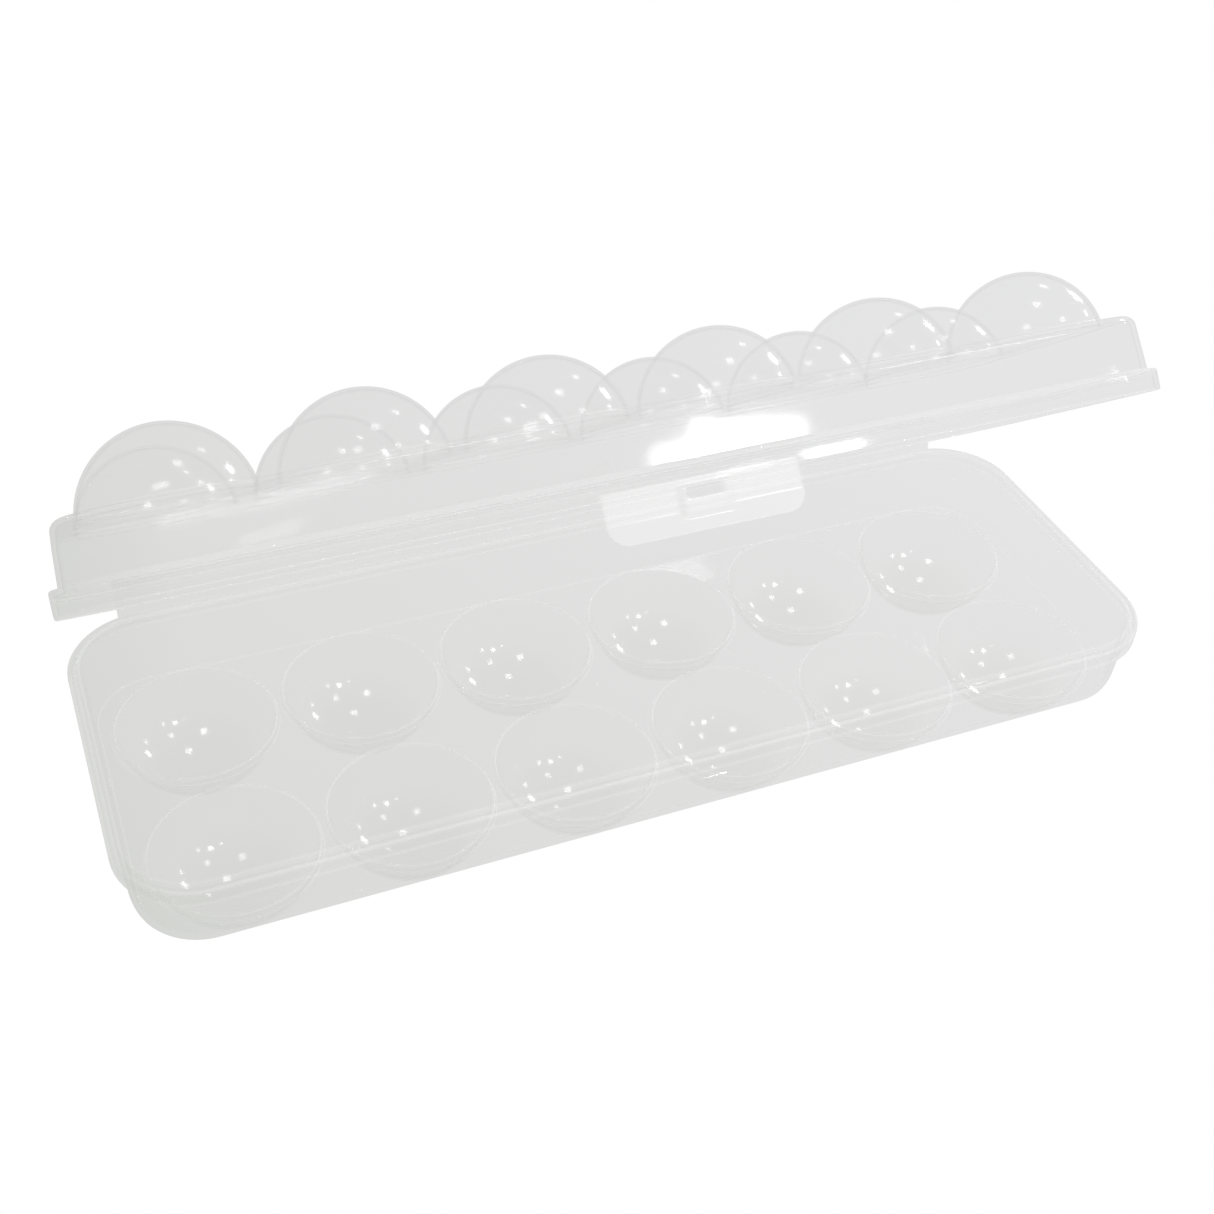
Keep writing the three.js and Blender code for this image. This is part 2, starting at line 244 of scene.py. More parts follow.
rim_low, rim_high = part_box("tray_rim")
GRID_MIDDLE = (rim_low + rim_high) / 2 / MM
GRID_MIDDLE.z = 0.0
lid_joint = next(joint for joint in frame["joints"] if joint["name"] == "lid_hinge")
SHUT_ANGLE = math.radians(lid_joint["range_deg"][0])
TO_ROW = Matrix.Scale(MM, 4) @ Matrix.Translation(GRID_MIDDLE)
HINGE_POINT = Vector(lid_joint["pos_m"])
TURN = Matrix.Rotation(-SHUT_ANGLE, 4, Vector(lid_joint["axis"]))
OPEN_LID = Matrix.Translation(HINGE_POINT) @ TURN @ Matrix.Translation(-HINGE_POINT)


def cup_centres():
    """The label, x and y of each egg's place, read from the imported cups."""
    for row in range(1, ROWS + 1):
        for column in range(1, COLUMNS + 1):
            label = f"{row}_{column}"
            low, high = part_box(f"egg_cup_{label}")
            middle = (low + high) / 2 / MM
            yield label, middle.x, middle.y - GRID_MIDDLE.y


PLACES = list(cup_centres())


# ---- Mesh building ----


class Shell:
    """The points and faces of one piece. Seam faces are where it is one with a neighbour,
    and fold faces are the tight curves, where clear plastic gathers light."""

    def __init__(self):
        self.points = []
        self.faces = []
        self.seams = set()
        self.folds = set()

    def ring(self, points):
        start = len(self.points)
        self.points.extend(points)
        return list(range(start, len(self.points)))

    def face(self, corners, seam=False, fold=False):
        if seam:
            self.seams.add(len(self.faces))
        elif fold:
            self.folds.add(len(self.faces))
        self.faces.append(tuple(corners))

    def band(self, lower, upper, seam=False, fold=False):
        for step in range(len(lower)):
            after = (step + 1) % len(lower)
            self.face((lower[step], lower[after], upper[after], upper[step]), seam, fold)

    def fan(self, ring, point):
        centre = self.ring([point])[0]
        for step, index in enumerate(ring):
            self.face((index, ring[(step + 1) % len(ring)], centre))

    def fill(self, loops):
        """A flat face between an outer loop and the holes in it."""
        indices = [index for loop in loops for index in loop]
        outlines = [[Vector(self.points[index]) for index in loop] for loop in loops]
        for triangle in tessellate_polygon(outlines):
            self.face([indices[corner] for corner in triangle])


def rounded(corners, steps=4):
    """A path through corners given as (a, b) or, with an arc there, as (a, b, radius)."""
    path = []
    last = len(corners) - 1
    for place, corner in enumerate(corners):
        here = Vector(corner[:2])
        if len(corner) == 2 or place in (0, last):
            path.append(here)
            continue
        before = Vector(corners[place - 1][:2]) - here
        after = Vector(corners[place + 1][:2]) - here
        before.normalize()
        after.normalize()
        half = before.angle(after) / 2
        centre = here + (before + after).normalized() * (corner[2] / math.sin(half))
        start = here + before * (corner[2] / math.tan(half)) - centre
        end = here + after * (corner[2] / math.tan(half)) - centre
        for step in range(steps + 1):
            share = step / steps
            path.append(centre + start.slerp(end, share).normalized() * corner[2])
    return [(point.x, point.y) for point in path]


def arc(centre, radii, start, end, steps=6):
    """Points on part of an ellipse, from start to end in degrees."""
    points = []
    for step in range(steps + 1):
        angle = math.radians(start + (end - start) * step / steps)
        a = centre[0] + radii[0] * math.cos(angle)
        b = centre[1] + radii[1] * math.sin(angle)
        points.append((a, b))
    return points


def ball(radius, z, start, end, steps):
    """Points on a sphere's outline, for turning. The sphere's middle is on the axis at z."""
    return arc((0, z), (radius, radius), start, end, steps)


def outline(inset, z):
    """One turn round the carton's rounded rectangle."""
    radius = CORNER_RADIUS - inset
    straight_x = HALF_LENGTH - CORNER_RADIUS
    straight_y = HALF_WIDTH - CORNER_RADIUS
    corners = ((1, 1), (-1, 1), (-1, -1), (1, -1))
    points = []
    for place, (side_x, side_y) in enumerate(corners):
        for step in range(CORNER_STEPS + 1):
            angle = (place + step / CORNER_STEPS) * math.pi / 2
            x = side_x * straight_x + radius * math.cos(angle)
            y = side_y * straight_y + radius * math.sin(angle)
            points.append((x, y, z))
        start = Vector(points[-1])
        next_x, next_y = corners[(place + 1) % len(corners)]
        angle = (place + 1) * math.pi / 2
        end = Vector((next_x * straight_x + radius * math.cos(angle),
                      next_y * straight_y + radius * math.sin(angle), z))
        for step in range(1, SIDE_STEPS):
            points.append(tuple(start.lerp(end, step / SIDE_STEPS)))
    return points


def circle(x, y, radius, z):
    angles = (2 * math.pi * step / ROUND_STEPS for step in range(ROUND_STEPS))
    return [(x + radius * math.cos(a), y + radius * math.sin(a), z) for a in angles]


def drilled(section, border):
    """A shell with a deck or floor that is open at every egg's place.

    The section, of (inset, z), starts at the edge of the deck's one face and ends at the
    edge of its other face."""
    shell = Shell()
    rings = [shell.ring(outline(inset, z)) for inset, z in section]
    for step, (lower, upper) in enumerate(zip(rings, rings[1:])):
        tight = math.dist(section[step], section[step + 1]) < LOFTED_FOLD
        shell.band(lower, upper, fold=tight)
    loops = []
    for z in (section[0][1], section[-1][1]):
        loops.append([shell.ring(circle(x, y, border, z)) for _, x, y in PLACES])
    shell.fill([rings[0]] + loops[0])
    shell.fill([rings[-1]] + loops[1])
    for one, other in zip(*loops):
        shell.band(one, other, seam=True)
    return shell


def turned(profile, x, y, border):
    """A body of revolution. The profile, of (radius, z), starts and ends on the axis, and
    its upright step at the border radius is where the body is one with its neighbour."""
    shell = Shell()
    rings = [shell.ring(circle(x, y, radius, z)) for radius, z in profile[1:-1]]
    for step, (lower, upper) in enumerate(zip(rings, rings[1:])):
        start, end = profile[step + 1:step + 3]
        seam = min(start[0], end[0]) > border - SEAM_SLACK
        shell.band(lower, upper, seam=seam, fold=math.dist(start, end) < TURNED_FOLD)
    shell.fan(rings[0], (x, y, profile[0][1]))
    shell.fan(rings[-1], (x, y, profile[-1][1]))
    return shell


def prism(section, low, high, cuts=1):
    """A bar along X whose section is a loop of (y, z)."""
    shell = Shell()
    rings = []
    for cut in range(cuts + 1):
        x = low + (high - low) * cut / cuts
        rings.append(shell.ring([(x, y, z) for y, z in section]))
    for lower, upper in zip(rings, rings[1:]):
        shell.band(lower, upper)
    shell.face(rings[0])
    shell.face(reversed(rings[-1]))
    return shell


def add_piece(name, shell, material, body, replaced, lid=False):
    """Makes the mesh object of a shell in the row frame, and ties it to its body."""
    mesh = bpy.data.meshes.new(name)
    mesh.from_pydata([tuple(point) for point in shell.points], [], shell.faces)
    for look in (material, JOINED, FOLDED):
        mesh.materials.append(look)
    for index in shell.seams:
        mesh.polygons[index].material_index = JOINED_SLOT
    for index in shell.folds:
        mesh.polygons[index].material_index = FOLDED_SLOT
    mesh.transform(OPEN_LID @ TO_ROW if lid else TO_ROW)
    shape = bmesh.new()
    shape.from_mesh(mesh)
    bmesh.ops.remove_doubles(shape, verts=shape.verts, dist=WELD_METRES)
    bmesh.ops.recalc_face_normals(shape, faces=shape.faces)
    for edge in shape.edges:
        cut = [face.material_index == JOINED_SLOT for face in edge.link_faces]
        edge.smooth = all(cut) or not any(cut)
    for face in shape.faces:
        face.smooth = True
    shape.to_mesh(mesh)
    shape.free()
    piece = bpy.data.objects.new(name, mesh)
    bpy.context.scene.collection.objects.link(piece)
    weigh = piece.modifiers.new("even shading", "WEIGHTED_NORMAL")
    weigh.keep_sharp = True
    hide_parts(*replaced)
    if body:
        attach(piece, body)
    return piece


def reshape(piece, name, kind):
    """A new modifier that comes before the one that evens the shading."""
    modifier = piece.modifiers.new(name, kind)
    piece.modifiers.move(len(piece.modifiers) - 1, 0)
    return modifier


def soften(piece, width, steps=2):
    """Rounds a piece's edges."""
    bevel = reshape(piece, "soft edges", "BEVEL")
    bevel.width = width * MM
    bevel.segments = steps
    bevel.limit_method = "ANGLE"
    bevel.angle_limit = math.radians(25)


# ---- Materials ----


def node(tree, kind, **values):
    """A shader node with its inputs or properties set."""
    made = tree.nodes.new(kind)
    for key, value in values.items():
        if key in made.inputs:
            made.inputs[key].default_value = value
        else:
            setattr(made, key, value)
    return made


def mapped(tree, source, given, wanted=(0, 1), **settings):
    """A socket whose value goes over the wanted range as the source goes over the given."""
    spread = node(tree, "ShaderNodeMapRange", **settings)
    for name, (low, high) in (("From", given), ("To", wanted)):
        spread.inputs[f"{name} Min"].default_value = low
        spread.inputs[f"{name} Max"].default_value = high
    tree.links.new(source, spread.inputs["Value"])
    return spread.outputs["Result"]


def tinted(tree, colour, tint, share):
    """A colour socket multiplied by a tint, as far as the share socket says."""
    mix = node(tree, "ShaderNodeMix", data_type="RGBA", blend_type="MULTIPLY")
    mix.inputs["B"].default_value = (*tint, 1)
    tree.links.new(share, mix.inputs["Factor"])
    tree.links.new(colour, mix.inputs["A"])
    return mix.outputs["Result"]


def switched(tree, switch, shader, other):
    """The other shader's socket where the switch is on, and the shader's where it is off."""
    mix = node(tree, "ShaderNodeMixShader")
    tree.links.new(switch, mix.inputs["Fac"])
    tree.links.new(shader, mix.inputs[1])
    tree.links.new(other, mix.inputs[2])
    return mix.outputs["Shader"]


def new_material(name):
    material = bpy.data.materials.new(name)
    material.use_nodes = True
    material.node_tree.nodes.clear()
    return material, material.node_tree


def show(tree, shader):
    out = node(tree, "ShaderNodeOutputMaterial")
    tree.links.new(shader, out.inputs["Surface"])


def clear_plastic(name, tint, cloud, clearness=1.0, sheen=0.05, skin=0.5,
                  end_shade=NO_SHADE, edge=0.92, foot_shade=None):
    """Thin moulded plastic, which doesn't bend what is seen through it.

    Its tint drifts up to the cloud times as light. It is deeper by end_shade, a painted shade,
    at the carton's left end, by the grey edge where it is seen on edge, and by foot_shade, a
    painted shade, at the cups' feet. Skin is the weight of the glossy coat on its outer faces,
    and sheen the coat's roughness."""
    material, tree = new_material(name)
    link = tree.links.new
    place = node(tree, "ShaderNodeTexCoord").outputs["Object"]
    apart = node(tree, "ShaderNodeSeparateXYZ")
    link(place, apart.inputs["Vector"])
    flow = node(tree, "ShaderNodeTexNoise", Scale=CLOUD_SCALE, Detail=3.0, Roughness=0.5)
    link(place, flow.inputs["Vector"])
    shades = node(tree, "ShaderNodeValToRGB")
    shades.color_ramp.elements[0].color = (*tint, 1)
    shades.color_ramp.elements[1].color = (*(min(1, c * cloud) for c in tint), 1)
    link(flow.outputs["Fac"], shades.inputs["Fac"])
    # Painted shade, darker and greener towards the carton's left end
    shade_at_end = mapped(tree, apart.outputs["X"], LEFT_END_X, (1, 0))
    colour = tinted(tree, shades.outputs["Color"], end_shade, shade_at_end)
    # Painted shade, darker towards the cups' feet
    if foot_shade:
        low = mapped(tree, apart.outputs["Z"], CUP_SHADE_Z, (1, 0),
                     interpolation_type="SMOOTHSTEP")
        colour = tinted(tree, colour, foot_shade, low)
    slant = node(tree, "ShaderNodeLayerWeight", Blend=0.5)
    on_edge = mapped(tree, slant.outputs["Facing"], (EDGE_ON, 1))
    colour = tinted(tree, colour, (edge, edge, edge), on_edge)
    ripple = node(tree, "ShaderNodeTexNoise", Scale=RIPPLE_SCALE, Detail=2.0)
    link(place, ripple.inputs["Vector"])
    bump = node(tree, "ShaderNodeBump", Strength=RIPPLE_STRENGTH, Distance=RIPPLE_DEPTH)
    link(ripple.outputs["Fac"], bump.inputs["Height"])
    gloss = mapped(tree, flow.outputs["Fac"], (0, 1), GLOSS_RANGE)
    side = node(tree, "ShaderNodeNewGeometry")
    coat = mapped(tree, side.outputs["Backfacing"], (0, 1), (skin, 0))
    plastic = node(tree, "ShaderNodeBsdfPrincipled", IOR=PLASTIC_INDEX)
    plastic.inputs["Transmission Weight"].default_value = clearness
    plastic.inputs["Coat IOR"].default_value = COAT_INDEX
    plastic.inputs["Coat Roughness"].default_value = sheen
    link(coat, plastic.inputs["Coat Weight"])
    link(colour, plastic.inputs["Base Color"])
    link(gloss, plastic.inputs["Roughness"])
    link(bump.outputs["Normal"], plastic.inputs["Normal"])
    link(bump.outputs["Normal"], plastic.inputs["Coat Normal"])
    through = node(tree, "ShaderNodeBsdfTransparent")
    link(colour, through.inputs["Color"])
    # Light that falls through the plastic on something else is only tinted
    ray = node(tree, "ShaderNodeLightPath")
    shader = plastic.outputs["BSDF"]
    for kind in ("Is Shadow Ray", "Is Diffuse Ray"):
        shader = switched(tree, ray.outputs[kind], shader, through.outputs["BSDF"])
    show(tree, shader)
    return material


def joined_plastic():
    """For the cut faces where two pieces of one moulding meet, which don't show."""
    material, tree = new_material("joined_plastic")
    show(tree, node(tree, "ShaderNodeBsdfTransparent").outputs["BSDF"])
    return material


JOINED = joined_plastic()
FOLDED = clear_plastic("folded_clear", (0.993, 0.993, 0.993), 1.005, clearness=0.9, sheen=0.3,
                       skin=0.15, end_shade=LEFT_END_SHADE, edge=0.97)
TRAY_CLEAR = clear_plastic("tray_clear", BODY_TINT, 1.01, skin=0.35, end_shade=LEFT_END_SHADE)
# The cups' feet are darkened by a painted shade
CUP_CLEAR = clear_plastic("cup_clear", (0.974, 0.976, 0.972), 1.025, sheen=0.1, edge=0.945,
                          foot_shade=(0.965, 0.967, 0.957))
LID_CLEAR = clear_plastic("lid_clear", BODY_TINT, 1.01, skin=0.35, end_shade=LEFT_END_SHADE)
DOME_CLEAR = clear_plastic("dome_clear", (0.986, 0.987, 0.986), 1.01, sheen=0.13, edge=0.895)
WEB_CLEAR = clear_plastic("web_clear", (0.97, 0.971, 0.969), 1.02, clearness=0.93, sheen=0.12)
LATCH_CLEAR = clear_plastic("latch_clear", (0.990, 0.990, 0.990), 1.01, clearness=0.95,
                            sheen=0.16)


# ---- Tray ----


def tray_section():
    """From the edge of the floor's inside, up the wall, over the rim and its skirt, and down
    outside, as (inset, z) with the radius of any arc at a corner."""
    inside = arc((5.3, WALL_FOOT), (1.35, WALL_FOOT - FLOOR_TOP), 270, 180)
    rim = rounded([
        inside[-1],
        (3.4, LIP_TOP, 0.45),
        (2.3, LIP_TOP, 0.35),
        (2.3, RIM_TOP, 0.25),
        (0.0, RIM_TOP, 0.8),
        (0.0, BAND_LOW, 0.35),
        (1.1, BAND_LOW, 0.35),
        (1.1, SKIRT_ROOF, 0.4),
        (2.2, SKIRT_ROOF, 0.4),
        (2.75, WALL_FOOT),
    ])
    outside = arc((4.6, WALL_FOOT), (1.85, WALL_FOOT - FLOOR_BOTTOM), 180, 270)
    return inside + rim[1:] + outside[1:]


def cup_profile():
    """From the middle of the cup's inside, over its lip and the floor round it, to the
    middle of its foot."""
    bottom_angle = -math.degrees(math.acos(CUP_FLAT / CUP_INNER))
    lip_angle = -math.degrees(math.asin((CUP_SPHERE_Z - CUP_TOP + 0.9) / CUP_INNER))
    inside = ball(CUP_INNER, CUP_SPHERE_Z, bottom_angle, lip_angle, CUP_STEPS[0])
    lip = rounded([
        inside[-1],
        (22.2, CUP_TOP, 0.5),
        (22.9, CUP_TOP, 0.5),
        (23.3, FLOOR_TOP, 0.25),
        (CUP_BORDER, FLOOR_TOP),
    ])
    floor_angle = -math.degrees(math.asin((CUP_SPHERE_Z - FLOOR_BOTTOM + 0.5) / CUP_OUTER))
    foot_angle = -math.degrees(math.acos((FOOT_RADIUS + 3.0) / CUP_OUTER))
    outside = ball(CUP_OUTER, CUP_SPHERE_Z, floor_angle, foot_angle, CUP_STEPS[1])
    foot = rounded([outside[-1], (FOOT_RADIUS, 0.0, FOOT_ARC), (CUP_FLAT, 0.0)], 8)
    return (
        [(0, CUP_BOTTOM)]
        + inside
        + lip[1:]
        + [(CUP_BORDER, FLOOR_BOTTOM), (outside[0][0] + 0.25, FLOOR_BOTTOM)]
        + outside
        + foot[1:]
        + [(0, 0.0)]
    )


def build_tray():
    pan = drilled(tray_section(), CUP_BORDER)
    add_piece("tray_body", pan, TRAY_CLEAR, "tray", ["tray_pan", "tray_rim"])
    profile = cup_profile()
    for label, x, y in PLACES:
        cup = turned(profile, x, y, CUP_BORDER)
        name = f"egg_cup_{label}"
        add_piece(f"cup_{label}", cup, CUP_CLEAR, "tray", [name])


# ---- Lid ----


def lid_section():
    """From the edge of the deck's inside, down the wall and the band, and up outside. The
    short step in the middle of the deck's outer fillet is a fold, for the light line there."""
    inside = arc((6.4, DECK_BOTTOM - 2.0), (2.0, 2.0), 90, 180)
    wall = rounded(inside + [
        (3.6, 46.0, 0.5),
        (1.2, 45.8, 0.5),
        (1.1, LID_BAND_LOW, 0.4),
        (0.0, LID_BAND_LOW, 0.4),
        (0.0, LID_BAND_TOP, 0.8),
        (2.4, LID_BAND_TOP, 0.5),
        (DECK_INSET, DECK_TOP - DECK_FILLET),
    ])
    middle = (DECK_INSET + DECK_FILLET, DECK_TOP - DECK_FILLET)
    radii = (DECK_FILLET, DECK_FILLET)
    return wall + arc(middle, radii, 180, 140, 3)[1:] + arc(middle, radii, 131, 90, 3)


def dome_profile():
    """From the middle of the dome's inside to the deck round it, and back outside."""
    low_angle = -math.degrees(math.asin((DOME_SPHERE_Z - DECK_BOTTOM - 0.5) / DOME_INNER))
    inside = ball(DOME_INNER, DOME_SPHERE_Z, NEAR_POLE, low_angle, DOME_STEPS)
    foot_angle = math.degrees(math.asin((DECK_TOP - DOME_SPHERE_Z + 1.2) / DOME_OUTER))
    outside = ball(DOME_OUTER, DOME_SPHERE_Z, foot_angle, NEAR_POLE, DOME_STEPS)
    foot = rounded([
        (DOME_BORDER, DECK_TOP),
        (outside[0][0] + 0.12, DECK_TOP, 0.7),
        outside[0],
    ])
    return (
        [(0, DOME_SPHERE_Z + DOME_INNER)]
        + inside
        + [(inside[-1][0] + 0.3, DECK_BOTTOM), (DOME_BORDER, DECK_BOTTOM)]
        + foot
        + outside[1:]
        + [(0, DOME_SPHERE_Z + DOME_OUTER)]
    )


def build_lid():
    top = drilled(lid_section(), DOME_BORDER)
    add_piece("lid_body", top, LID_CLEAR, "lid", ["lid_shell", "lid_band"], True)
    profile = dome_profile()
    for label, x, y in PLACES:
        dome = turned(profile, x, y, DOME_BORDER)
        name = f"egg_dome_{label}"
        add_piece(f"dome_{label}", dome, DOME_CLEAR, "lid", [name], True)


# ---- Hinge, catch and latch ----


def build_leaves():
    """The strips from the rim and from the band to the film. Both sections are (y, z)."""
    front = HALF_WIDTH + CLEARANCE
    stand = [
        (front, BAND_LOW + 0.4),
        (front + 1.1, BAND_LOW + 0.1),
        (front + 1.3, 43.4),
        (HINGE_Y, HINGE_Z - 0.65),
        (HINGE_Y - 0.8, HINGE_Z - 0.35),
        (front + 0.3, 44.2),
        (front + 0.28, 41.2),
        (front, 40.4),
    ]
    leaf = prism(stand, -HINGE_HALF_LENGTH, HINGE_HALF_LENGTH, LEAF_CUTS)
    piece = add_piece("hinge_leaf_low", leaf, TRAY_CLEAR, "tray",
                      ["hinge_leaf_tray"])
    soften(piece, LEAF_SOFTNESS)
    ledge = [
        (HALF_WIDTH - 1.0, LID_BAND_TOP - CLEARANCE),
        (HALF_WIDTH - 0.2, LID_BAND_TOP + 0.28),
        (HINGE_Y - 2.6, LID_BAND_TOP + 0.3),
        (HINGE_Y - 0.65, HINGE_Z),
        (HINGE_Y - 0.65, HINGE_Z + 0.6),
        (HINGE_Y - 3.2, LID_BAND_TOP + 1.4),
        (HALF_WIDTH - 2.4, LID_BAND_TOP + 1.2),
    ]
    leaf = prism(ledge, -HINGE_HALF_LENGTH, HINGE_HALF_LENGTH, LEAF_CUTS)
    piece = add_piece("hinge_leaf_high", leaf, LID_CLEAR, "lid",
                      ["hinge_leaf_lid"], True)
    soften(piece, LEAF_SOFTNESS)


def build_web():
    """The film that bends. Its tips are (y, z) from the hinge line with the lid open."""
    turn = -SHUT_ANGLE
    low_tip = Vector((-0.4, -0.5))
    shut_tip = Vector((-0.65, 0.3))
    high_tip = Vector((
        math.cos(turn) * shut_tip.x + math.sin(turn) * shut_tip.y,
        math.cos(turn) * shut_tip.y - math.sin(turn) * shut_tip.x,
    ))
    out = Vector((0.25, 0.1))
    path = []
    for step in range(WEB_STEPS + 1):
        share = step / WEB_STEPS
        bulge = out * math.sin(share * math.pi) * WEB_BULGE
        path.append(low_tip.lerp(high_tip, share) + bulge)
    loop = [(HINGE_Y + p.x, HINGE_Z + p.y) for p in path]
    back = [(HINGE_Y + p.x - WEB_THICKNESS, HINGE_Z + p.y + 0.05) for p in reversed(path)]
    web = prism(loop + back, WEB_END_GAP - HINGE_HALF_LENGTH,
                HINGE_HALF_LENGTH - WEB_END_GAP, WEB_CUTS)
    piece = add_piece("film_web", web, WEB_CLEAR, None, ["film_hinge"])
    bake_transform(piece)


def build_nub():
    face = -HALF_WIDTH - CLEARANCE
    section = [
        (face, 34.9),
        (face, 37.1),
        (face - 1.6, 36.9),
        (face - 2.6, 36.1),
        (face - 2.6, 34.9),
    ]
    nub = prism(section, LATCH_X - NUB_HALF_LENGTH, LATCH_X + NUB_HALF_LENGTH)
    piece = add_piece("catch", nub, TRAY_CLEAR, "tray", ["catch_nub"])
    soften(piece, NUB_SOFTNESS, 3)


def tab_front(side, z):
    """The y of the tab's front face, which stands out at the block and below the crease."""
    if side <= BLOCK_SIDE and BLOCK_LOW <= z <= BLOCK_TOP:
        return BLOCK_FRONT
    return TAB_FRONT - 1.4 * max(0, TAB_CREASE - z) / (TAB_CREASE - TAB_LOW)


def tab_back(side, z):
    """The y of its back face, which meets the band at the root and is hollow at the block."""
    if side <= POCKET_SIDE and POCKET_LOW <= z <= POCKET_TOP:
        return POCKET_BACK
    if z >= TAB_ROOT:
        return -HALF_WIDTH - CLEARANCE
    return TAB_BACK - 1.6 * max(0, TAB_CREASE - z) / (TAB_CREASE - TAB_LOW)


def tab_side(column, z):
    """A column's x at a height. The outer columns draw in round the tab's lower corners."""
    if abs(column) <= TAB_STRAIGHT:
        return column
    drop = max(0, TAB_LOW + TAB_CORNER - z)
    reach = TAB_SIDE - TAB_CORNER + math.sqrt(max(0, TAB_CORNER ** 2 - drop ** 2))
    stretch = (reach - TAB_STRAIGHT) / (TAB_SIDE - TAB_STRAIGHT)
    return math.copysign(TAB_STRAIGHT + (abs(column) - TAB_STRAIGHT) * stretch, column)


def build_tab():
    """Two grids of points, with the window left out, and a wall where the grids end."""
    shell = Shell()
    columns = [-column for column in reversed(TAB_COLUMNS[1:])] + list(TAB_COLUMNS)
    front = []
    back = []
    for z in TAB_ROWS:
        for rows, depth in ((front, tab_front), (back, tab_back)):
            rows.append(shell.ring([
                (LATCH_X + tab_side(column, z), depth(abs(column), z), z)
                for column in columns
            ]))
    edges = {}
    for row, (top, bottom) in enumerate(zip(TAB_ROWS, TAB_ROWS[1:])):
        for column, (left, right) in enumerate(zip(columns, columns[1:])):
            in_rows = WINDOW_LOW <= bottom and top <= WINDOW_TOP
            if in_rows and abs((left + right) / 2) < WINDOW_SIDE:
                continue
            spots = ((row, column), (row, column + 1), (row + 1, column + 1), (row + 1, column))
            shell.face([front[r][c] for r, c in spots])
            shell.face([back[r][c] for r, c in reversed(spots)])
            for one, other in zip(spots, spots[1:] + spots[:1]):
                key = frozenset((one, other))
                edges[key] = None if key in edges else (one, other)
    for edge in filter(None, edges.values()):
        (r1, c1), (r2, c2) = edge
        shell.face((front[r1][c1], back[r1][c1], back[r2][c2], front[r2][c2]))
    piece = add_piece("latch_flap", shell, LATCH_CLEAR, "latch",
                      ["latch_tab"], True)
    smooth = reshape(piece, "smooth", "SUBSURF")
    smooth.levels = 2
    smooth.render_levels = 2


build_tray()
build_lid()
build_leaves()
build_web()
build_nub()
build_tab()


# ---- Camera, light and floor ----


def add_camera():
    data = bpy.data.cameras.new("camera")
    data.sensor_width = CAMERA_SENSOR
    data.lens = CAMERA_LENS
    data.clip_start = CAMERA_NEAR
    azimuth, elevation, roll = (math.radians(angle) for angle in CAMERA_ANGLES)
    forward = Vector((
        -math.sin(azimuth) * math.cos(elevation),
        math.cos(azimuth) * math.cos(elevation),
        -math.sin(elevation),
    ))
    level = Vector((math.cos(azimuth), math.sin(azimuth), 0))
    rise = level.cross(forward)
    right = level * math.cos(roll) + rise * math.sin(roll)
    up = right.cross(forward)
    turn = Matrix((right, up, -forward)).transposed().to_4x4()
    camera = bpy.data.objects.new("camera", data)
    camera.matrix_world = Matrix.Translation(CAMERA_PLACE) @ turn
    bpy.context.scene.collection.objects.link(camera)
    bpy.context.scene.camera = camera


def add_lamp(name, place, width, height, spin, radiance):
    """A square or oblong soft lamp, turned by spin in its own plane."""
    data = bpy.data.lights.new(name, "AREA")
    data.shape = "RECTANGLE"
    data.size = width
    data.size_y = height
    data.energy = radiance * math.pi * width * height
    lamp = bpy.data.objects.new(name, data)
    aim = (Vector(LAMP_AIM) - Vector(place)).to_track_quat("-Z", "Y").to_matrix().to_4x4()
    turn = Matrix.Rotation(math.radians(spin), 4, "Z")
    lamp.matrix_world = Matrix.Translation(place) @ aim @ turn
    bpy.context.scene.collection.objects.link(lamp)
    if name in LIT_ONLY:
        lit = bpy.data.collections.new(f"lit_by_{name}")
        for piece in bpy.context.scene.objects:
            if piece.name.startswith(LIT_ONLY[name]):
                lit.objects.link(piece)
        lamp.light_linking.receiver_collection = lit


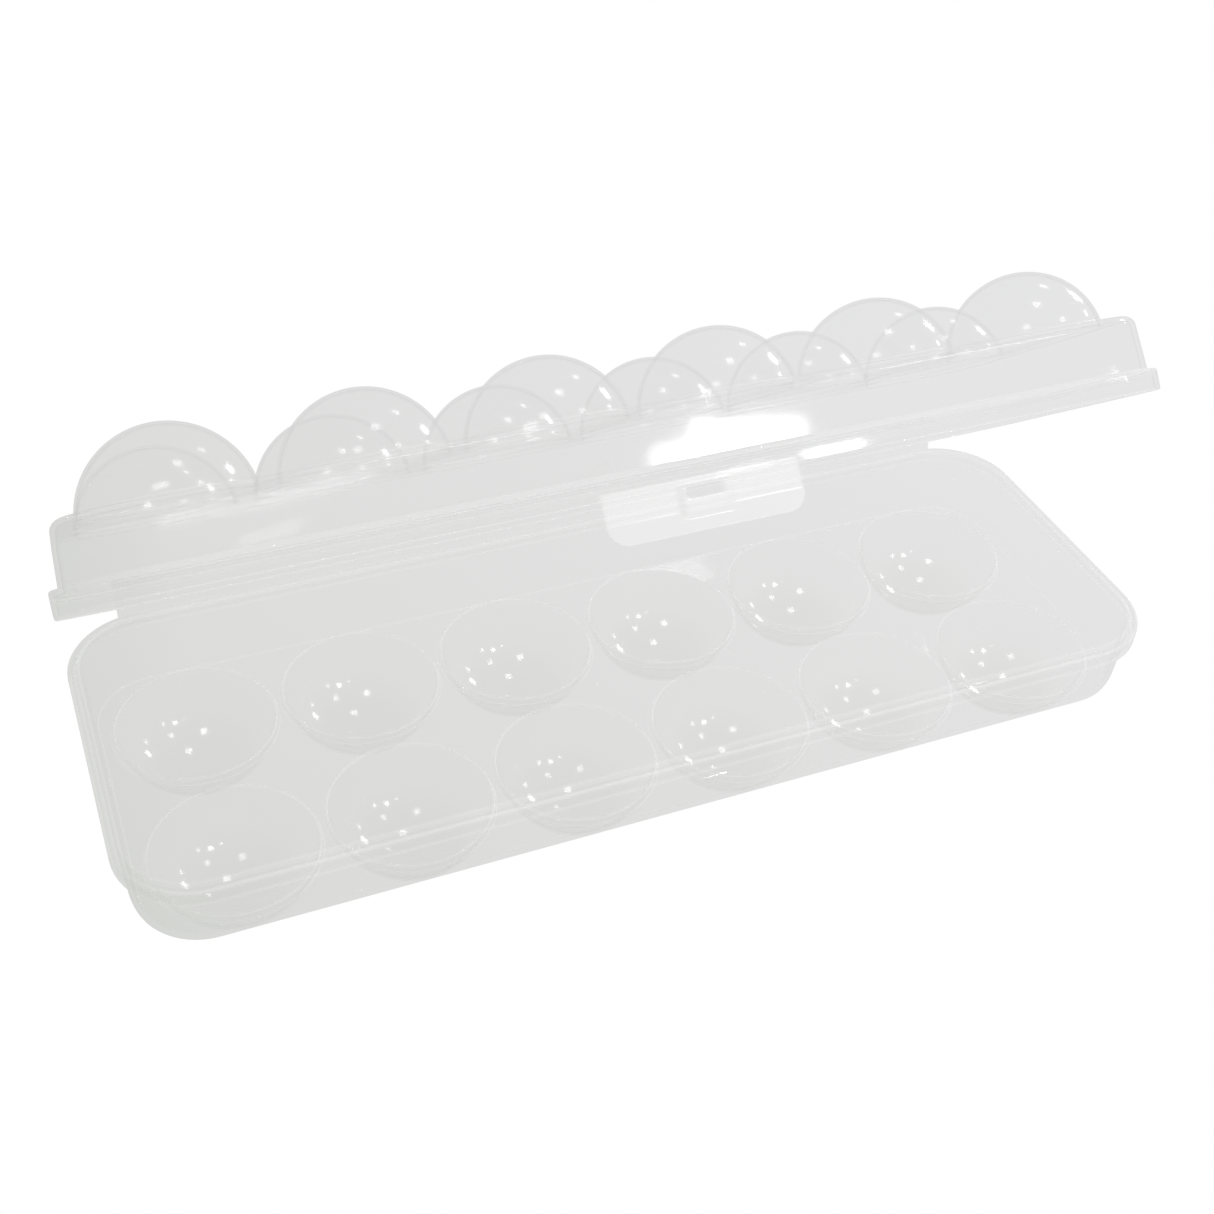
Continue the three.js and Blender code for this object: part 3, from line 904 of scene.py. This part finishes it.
def add_surround():
    """A light tent, grey and a little uneven to the plastic, and white to the camera."""
    world = bpy.data.worlds.new("studio")
    world.use_nodes = True
    tree = world.node_tree
    place = node(tree, "ShaderNodeTexCoord")
    turn = node(tree, "ShaderNodeVectorRotate", rotation_type="Z_AXIS", Angle=TENT_TURN)
    tree.links.new(place.outputs["Generated"], turn.inputs["Vector"])
    apart = node(tree, "ShaderNodeSeparateXYZ")
    tree.links.new(turn.outputs["Vector"], apart.inputs["Vector"])
    shade = mapped(tree, apart.outputs["X"], (-1, 1), TENT_SHADES)
    ray = node(tree, "ShaderNodeLightPath")
    level = node(tree, "ShaderNodeMix", B=1.0)
    tree.links.new(ray.outputs["Is Camera Ray"], level.inputs["Factor"])
    tree.links.new(shade, level.inputs["A"])
    surround = tree.nodes["Background"]
    surround.inputs["Color"].default_value = (1, 1, 1, 1)
    tree.links.new(level.outputs["Result"], surround.inputs["Strength"])
    bpy.context.scene.world = world


def floor_material():
    """White to the camera, and to the plastic the tent's grey, which lightens to the right."""
    material, tree = new_material("pale_floor")
    place = node(tree, "ShaderNodeTexCoord")
    along = node(tree, "ShaderNodeVectorMath", operation="DOT_PRODUCT")
    along.inputs[1].default_value = FLOOR_DIRECTION
    tree.links.new(place.outputs["Object"], along.inputs[0])
    share = mapped(tree, along.outputs["Value"], FLOOR_SPAN)
    shades = node(tree, "ShaderNodeValToRGB")
    ramp = shades.color_ramp.elements
    ramp.new(FLOOR_SHADES[1][0])
    for stop, (position, colour) in zip(ramp, FLOOR_SHADES):
        stop.position = position
        stop.color = colour
    tree.links.new(share, shades.inputs["Fac"])
    ray = node(tree, "ShaderNodeLightPath")
    level = node(tree, "ShaderNodeMix", data_type="RGBA")
    level.inputs["B"].default_value = (1, 1, 1, 1)
    tree.links.new(ray.outputs["Is Camera Ray"], level.inputs["Factor"])
    tree.links.new(shades.outputs["Color"], level.inputs["A"])
    glow = node(tree, "ShaderNodeEmission")
    tree.links.new(level.outputs["Result"], glow.inputs["Color"])
    show(tree, glow.outputs["Emission"])
    return material


def add_floor():
    mesh = bpy.data.meshes.new("floor")
    sides = ((-1, -1), (1, -1), (1, 1), (-1, 1))
    corners = [(x * FLOOR_HALF, y * FLOOR_HALF, 0) for x, y in sides]
    mesh.from_pydata(corners, [], [(0, 1, 2, 3)])
    mesh.materials.append(floor_material())
    floor = bpy.data.objects.new("floor", mesh)
    floor.location.z = -FLOOR_DROP
    bpy.context.scene.collection.objects.link(floor)


add_camera()
for lamp_row in LAMPS:
    add_lamp(*lamp_row)
add_surround()
add_floor()
scene = bpy.context.scene
scene.view_settings.view_transform = "Standard"
scene.cycles.max_bounces = BOUNCES
scene.cycles.transmission_bounces = BOUNCES
scene.cycles.glossy_bounces = BOUNCES
scene.cycles.transparent_max_bounces = BOUNCES
scene.cycles.caustics_reflective = False
scene.cycles.caustics_refractive = False
